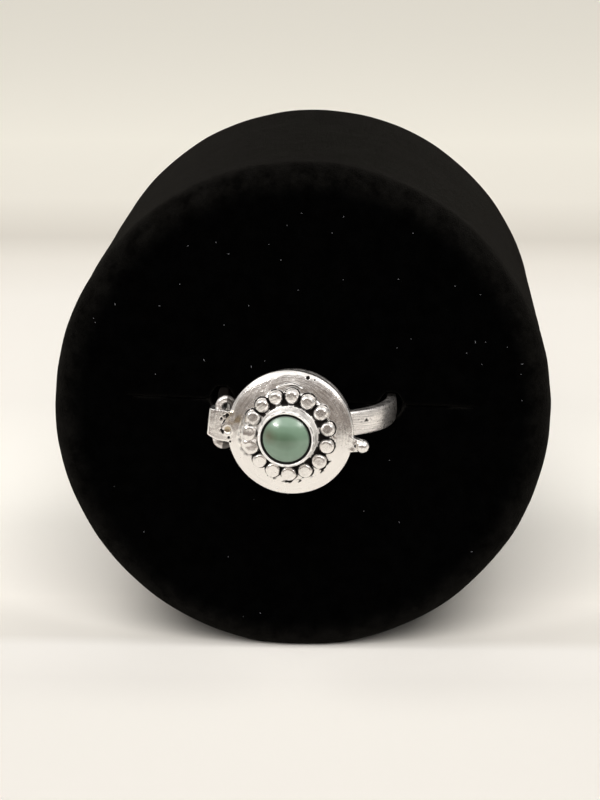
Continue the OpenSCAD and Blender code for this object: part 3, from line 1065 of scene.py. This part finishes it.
def silver_looks(name, clean, metal, rough_low, rough_high):
    """Worn silver: brushed along its run, mottled, yellow in places and black in the crevices, the
    black partly patina and partly painted shade, and darker where painted shade is marked.
    """
    looks = Looks(name)
    worn = looks.math("MULTIPLY", looks.noise(2600, 4, 0.65), 0.3)
    # Crevice darkness: patina, and painted shade in the crevices and round the stone
    dirt_and_shade = looks.math("ADD", looks.stored("dirt_and_shade"), worn)
    black = looks.ramp(dirt_and_shade, (0.54, 0.0), (0.9, 1.0))
    patch = looks.noise(520, 6, 0.7)
    dull = tuple(c * DULL_SHARE for c in clean)
    brushed = looks.node("ShaderNodeCombineXYZ")
    looks.link(looks.math("MULTIPLY", looks.stored("across"), 6.5), brushed.inputs[0])
    looks.link(looks.math("MULTIPLY", looks.stored("along"), 0.35), brushed.inputs[1])
    streak = looks.noise(1, 4, 0.65, place=brushed.outputs[0])
    both = looks.math("ADD", looks.math("MULTIPLY", patch, 0.2), looks.math("MULTIPLY", streak, 0.8))
    metal_tone = looks.ramp(both, (0.43, clean), (0.59, dull))
    metal_tone = looks.mix(looks.stored("streak_free"), metal_tone, clean)
    bloom = looks.ramp(looks.stored("bloom"), (0.15, 0.0), (0.75, 0.85))
    metal_tone = looks.mix(bloom, metal_tone, YELLOW_BLOOM)
    metal_tone = looks.mix(looks.stored("shade"), metal_tone, SHADED_SILVER)
    # The black is oxide and patina, and painted shade in the crevices and round the stone
    looks.feed("Base Color", looks.mix(black, metal_tone, OXIDE_AND_SHADE_BLACK))
    rough = looks.ramp(looks.noise(1500, 5, 0.75), (0.3, rough_low), (0.72, rough_high))
    looks.feed("Roughness", looks.mix(black, rough, (0.6, 0.6, 0.6)))
    looks.feed("Metallic", looks.mix(looks.stored("bare"), (metal,) * 3, (BARE_METAL,) * 3))
    lines = looks.bump(streak, 0.00001, 0.6)
    fine = looks.bump(looks.noise(3400, 4, 0.7), 0.00002, 0.6, lines)
    dents = looks.bump(looks.noise(900, 3), 0.00006, 0.6, fine)
    looks.feed("Normal", dents)
    return looks.material


def stone_looks():
    """Green stone: cloudy, darker across its middle as its own colour and painted shade, brown at the
    left, and with a painted shadow at its edge.
    """
    looks = Looks("green_stone")
    cloud = looks.noise(330, 3, 0.5)
    green = looks.ramp(cloud, (0.3, (0.112, 0.185, 0.128)), (0.7, (0.155, 0.237, 0.17)))
    middle = to_row((0, 0, STONE_Z))
    from_middle = looks.node("ShaderNodeVectorMath", operation="SUBTRACT")
    looks.link(looks.place, from_middle.inputs[0])
    from_middle.inputs[1].default_value = middle
    height = looks.vector("DOT_PRODUCT", from_middle.outputs[0], head_turn[:, 1])
    width = looks.vector("DOT_PRODUCT", from_middle.outputs[0], head_turn[:, 0])
    up = looks.math("MULTIPLY", looks.math("ADD", height, -DEEP_SHADE_Y * MM), 1 / (DEEP_SHADE_HIGH * MM))
    side = looks.math("MULTIPLY", looks.math("ADD", width, -DEEP_SHADE_X * MM), 1 / (DEEP_SHADE_WIDE * MM))
    away = looks.math("ADD", looks.math("MULTIPLY", up, up), looks.math("MULTIPLY", side, side))
    # Partly painted shade: the middle darker, the top and bottom lighter
    depth = looks.ramp(looks.math("MULTIPLY", away, 0.25), (0.0, 0.3), (0.22, 0.8), (0.6, 1.0))
    green = looks.mix(depth, (0.032, 0.066, 0.03), green)
    spot = looks.vector("DISTANCE", looks.place, to_row(BROWN_SPOT))
    ragged = looks.math("ADD", spot, looks.math("MULTIPLY", looks.noise(900, 2), 0.0007))
    brown = looks.ramp(looks.math("MULTIPLY", ragged, 500), (0.2, 0.8), (0.8, 0.0))
    green = looks.mix(brown, green, (0.056, 0.048, 0.02))
    swing = looks.node("ShaderNodeVectorMath", operation="CROSS_PRODUCT")
    looks.link(from_middle.outputs[0], swing.inputs[0])
    swing.inputs[1].default_value = head_turn[:, 2]
    far = looks.node("ShaderNodeVectorMath", operation="LENGTH")
    looks.link(swing.outputs[0], far.inputs[0])
    edge = looks.math("MULTIPLY", far.outputs["Value"], 1 / (STONE_R * MM))
    # Painted shadow of the bezel on the stone's edge
    rim_shadow = looks.ramp(edge, (0.9, 0.0), (0.965, 1.0))
    looks.feed("Base Color", looks.mix(rim_shadow, green, (0.006, 0.008, 0.005)))
    looks.set(Roughness=0.19, IOR=1.6, Specular_IOR_Level=0.85)
    return looks.material


def velvet_looks():
    looks = Looks("black_velvet")
    nap = looks.noise(500, 4, 0.7)
    black = looks.ramp(nap, (0.35, (0.0003, 0.0003, 0.0003)), (0.75, (0.0008, 0.0008, 0.0008)))
    # Painted sheen: the base colour turns grey over the round edge, where the pile catches the light
    grey = looks.ramp(nap, (0.35, (0.0012, 0.0011, 0.001)), (0.7, (0.0045, 0.0042, 0.0038)))
    looks.feed("Base Color", looks.mix(looks.stored("edge"), black, grey))
    looks.set(Roughness=1.0, Specular_IOR_Level=0.0)
    looks.set(Sheen_Weight=0.023, Sheen_Roughness=0.36, Sheen_Tint=(1.0, 0.93, 0.82, 1))
    looks.feed("Normal", looks.bump(looks.noise(4200, 3, 0.8), 0.0002, 0.8))
    return looks.material


def lint_looks():
    looks = Looks("pale_lint")
    looks.set(Base_Color=(0.12, 0.12, 0.13, 1), Roughness=1.0, Specular_IOR_Level=0.0)
    return looks.material


def floor_looks():
    """Pale table up to its far edge, then the wall's tone, all soft as the photo's are; its tone also
    paints light and shade: lightest beside the roll to lift its shadow, and a darker band where the
    table meets the wall.
    """
    looks = Looks("pale_floor")
    split = looks.node("ShaderNodeSeparateXYZ")
    looks.link(looks.place, split.inputs[0])
    # The ramp starts half a metre before the roll's middle and is a metre long
    along = looks.math("ADD", split.outputs[1], 0.5)
    # Painted light and shade: the stops beside the roll are lighter to lift its shadow, and the darkest
    # stop lies where the table meets the wall
    tone = looks.ramp(
        along,
        (0.40, (0.72, 0.69, 0.65)), (0.448, (0.72, 0.695, 0.655)), (0.461, (0.71, 0.685, 0.65)),
        (0.4741, (0.77, 0.745, 0.71)), (0.4749, (0.7, 0.67, 0.625)), (0.492, (0.93, 0.89, 0.83)),
        (0.541, (0.95, 0.92, 0.86)), (0.601, (0.85, 0.82, 0.77)), (0.692, (0.87, 0.835, 0.78)),
        (0.736, (0.825, 0.785, 0.72)), (0.767, (0.72, 0.68, 0.615)), (0.824, (0.89, 0.85, 0.77)),
        (0.934, (1.0, 0.96, 0.865)),
    )
    looks.feed("Base Color", tone)
    looks.set(Roughness=0.9, Specular_IOR_Level=0.0)
    return looks.material


def glow_looks(name, colour, strength):
    """A surface that gives light and reflects none."""
    looks = Looks(name)
    looks.set(Base_Color=(0.0, 0.0, 0.0, 1), Roughness=1.0, Specular_IOR_Level=0.0)
    looks.set(Emission_Color=(*colour, 1), Emission_Strength=strength)
    return looks.material


def dress(obj, material):
    obj.data.materials.clear()
    obj.data.materials.append(material)


# Stage, lights and camera


def make_floor():
    half = FLOOR_SIZE / 2 * MM
    corners = [(-half, -half, 0), (half, -half, 0), (half, half, 0), (-half, half, 0)]
    floor = mesh_of("floor", corners, [(0, 1, 2, 3)])
    floor.location.z = -FLOOR_DROP * MM
    dress(floor, floor_looks())


def make_room():
    """The dim room in front and the bright ceiling above it, which only the silver and stone mirror."""
    foot, head = (ROOM_FAR_R, ROOM_LOW_Z), (ROOM_FAR_R, ROOM_HIGH_Z)
    dim = glow_looks("dim_room", (0.22, 0.185, 0.16), 1.0)
    bright = glow_looks("bright_ceiling", (1.0, 0.98, 0.96), 1.12)
    room_strip("room_ground", (ROOM_NEAR_R, ROOM_LOW_Z), foot, ROOM_TURN, dim)
    room_strip("room_wall", foot, head, ROOM_TURN, dim)
    room_strip("room_ceiling", head, (CEILING_R, CEILING_Z), CEILING_TURN, bright)


def room_strip(name, start, end, turn, material):
    """Strip round the front, turn degrees each way, between two (radius, height) lines."""
    turns = np.radians(np.linspace(-turn, turn, ROOM_SIDES + 1))
    rows = [
        np.stack([r * np.sin(turns), roll_face - r * np.cos(turns), 0 * turns + z], 1)
        for r, z in (start, end)
    ]
    n = len(turns)
    faces = [(i, i + 1, n + i + 1, n + i) for i in range(n - 1)]
    strip = mesh_of(name, (np.concatenate(rows) * MM).tolist(), faces)
    strip.visible_camera = strip.visible_shadow = strip.visible_diffuse = False
    dress(strip, material)


def make_world():
    """A pale studio round the floor, which lights no dull surface."""
    world = bpy.data.worlds.new("studio")
    world.use_nodes = True
    back = world.node_tree.nodes["Background"]
    back.inputs["Color"].default_value = (1.0, 0.975, 0.94, 1)
    back.inputs["Strength"].default_value = 0.5
    bpy.context.scene.world = world
    world.cycles_visibility.diffuse = False


def aim(obj, target):
    way = Vector(target) * MM - obj.location
    obj.rotation_euler = way.to_track_quat("-Z", "Y").to_euler()


def way_from(turn, rise_by):
    """Direction of what stands turn degrees to the right of the front and rise_by degrees up."""
    t, e = math.radians(turn), math.radians(rise_by)
    return np.array([math.sin(t) * math.cos(e), -math.cos(t) * math.cos(e), math.sin(e)])


def softbox(name, turn, rise_by, size, watts, only_gleams=False):
    """A square light round the ring, for the mirrors alone where only_gleams is set."""
    lamp = bpy.data.lights.new(name, "AREA")
    lamp.size = size * MM
    lamp.energy = watts
    lamp.color = (1.0, 0.98, 0.95)
    obj = bpy.data.objects.new(name, lamp)
    target = np.array([0, roll_face, ROLL_Z])
    obj.location = (target + way_from(turn, rise_by) * LIGHT_DISTANCE) * MM
    aim(obj, target)
    obj.visible_diffuse = not only_gleams
    bpy.context.scene.collection.objects.link(obj)


def make_lights():
    softbox("left_gleam", turn=-48, rise_by=34, size=130, watts=1.5, only_gleams=True)
    softbox("right_gleam", turn=41, rise_by=36, size=110, watts=1.5, only_gleams=True)
    softbox("left_box", turn=-70, rise_by=60, size=300, watts=1.0)
    softbox("right_box", turn=70, rise_by=60, size=300, watts=0.9)
    # The broad soft light from the front gives no gleam
    broad = bpy.data.lights.new("front_light", "SUN")
    broad.energy = 3.75
    broad.angle = math.radians(50)
    broad.color = (1.0, 0.985, 0.96)
    obj = bpy.data.objects.new("front_light", broad)
    obj.rotation_euler = (math.radians(90 - FRONT_LIGHT_RISE), 0, 0)
    obj.visible_glossy = False
    bpy.context.scene.collection.objects.link(obj)


def make_camera():
    data = bpy.data.cameras.new("camera")
    data.sensor_width = SENSOR
    data.lens = SENSOR * FOCAL_PIXELS / IMAGE_HEIGHT
    data.clip_start = 0.01
    data.clip_end = 20
    camera = bpy.data.objects.new("camera", data)
    camera.location = (np.array(CAM_AIM) + way_from(CAM_TURN, CAM_RISE) * CAM_DISTANCE) * MM
    aim(camera, CAM_AIM)
    bpy.context.scene.collection.objects.link(camera)
    bpy.context.scene.camera = camera


head_turn, head_origin = head_frame()
roll_low, roll_high = [np.array(corner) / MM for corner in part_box("display_roll")]
roll_face, roll_back = roll_low[1], roll_high[1]

make_camera()
lid = lid_piece()
ring = ring_piece()
roll = roll_piece()
lint = lint_piece()
dress(lid, silver_looks("lid_silver", (0.96, 0.93, 0.9), 0.25, 0.15, 0.32))
dress(ring, silver_looks("silver", (0.93, 0.89, 0.86), 0.86, 0.2, 0.42))
dress(roll, velvet_looks())
dress(lint, lint_looks())
dress(stone_piece(), stone_looks())
make_floor()
make_room()
make_world()
make_lights()
bpy.context.scene.view_settings.view_transform = "Standard"
bpy.context.view_layer.update()
